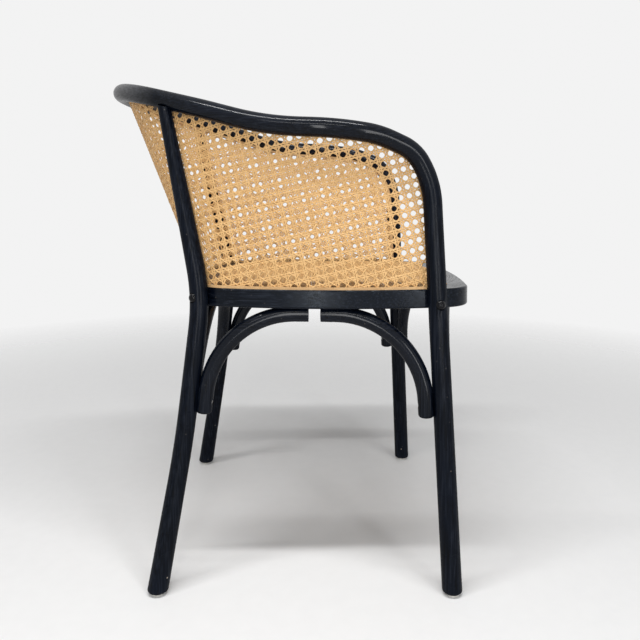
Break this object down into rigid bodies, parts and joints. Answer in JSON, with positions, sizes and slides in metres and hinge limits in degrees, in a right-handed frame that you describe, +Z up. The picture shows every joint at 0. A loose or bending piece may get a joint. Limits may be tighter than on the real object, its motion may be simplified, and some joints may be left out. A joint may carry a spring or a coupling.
{
  "type": "cane dining armchair",
  "caption": "Bentwood dining armchair: a bent rod forms front legs, arms and back rail around a cane-wrapped back, over a cane seat on a ring with arched brackets.",
  "frame": {"origin": "on the floor, under the middle of the chair's box", "axes": "+Z up, the chair faces -Y, +X is the sitter's left"},
  "size_m": [0.5276, 0.6, 0.7832],
  "materials": {
    "frame_lacquer": "satin blue-black lacquer over bent beech, fine grain showing, small nicks at the feet",
    "cane": "natural woven cane, satin skin, straw to honey colour",
    "reed": "natural reed spline, matt",
    "bolt_black": "black satin dome head",
    "zinc_steel": "bright zinc, slightly dull",
    "dowel_beech": "bare beech",
    "glide_plastic": "matt off-white nylon, worn"
  },
  "bodies": {
    "root": {"bent_rail": "frame_lacquer", "rear_leg_left": "frame_lacquer", "rear_leg_right": "frame_lacquer", "seat_ring": "frame_lacquer", "side_bracket_front_left": "frame_lacquer", "side_bracket_front_right": "frame_lacquer", "side_bracket_rear_left": "frame_lacquer", "side_bracket_rear_right": "frame_lacquer", "front_bracket_left": "frame_lacquer", "front_bracket_right": "frame_lacquer", "back_bracket_left": "frame_lacquer", "back_bracket_right": "frame_lacquer", "back_cane": "cane", "seat_cane": "cane", "back_cane_rail_reed": "reed", "back_cane_ring_reed": "reed", "seat_cane_reed": "reed", "front_leg_bolts": "bolt_black", "rear_leg_bolts": "bolt_black", "bolt_washers": "zinc_steel", "bolt_nuts": "zinc_steel", "bracket_leg_screws": "zinc_steel", "bracket_seat_screws": "zinc_steel", "rear_leg_dowels": "dowel_beech", "floor_glides": "glide_plastic"}
  },
  "joints": []
}
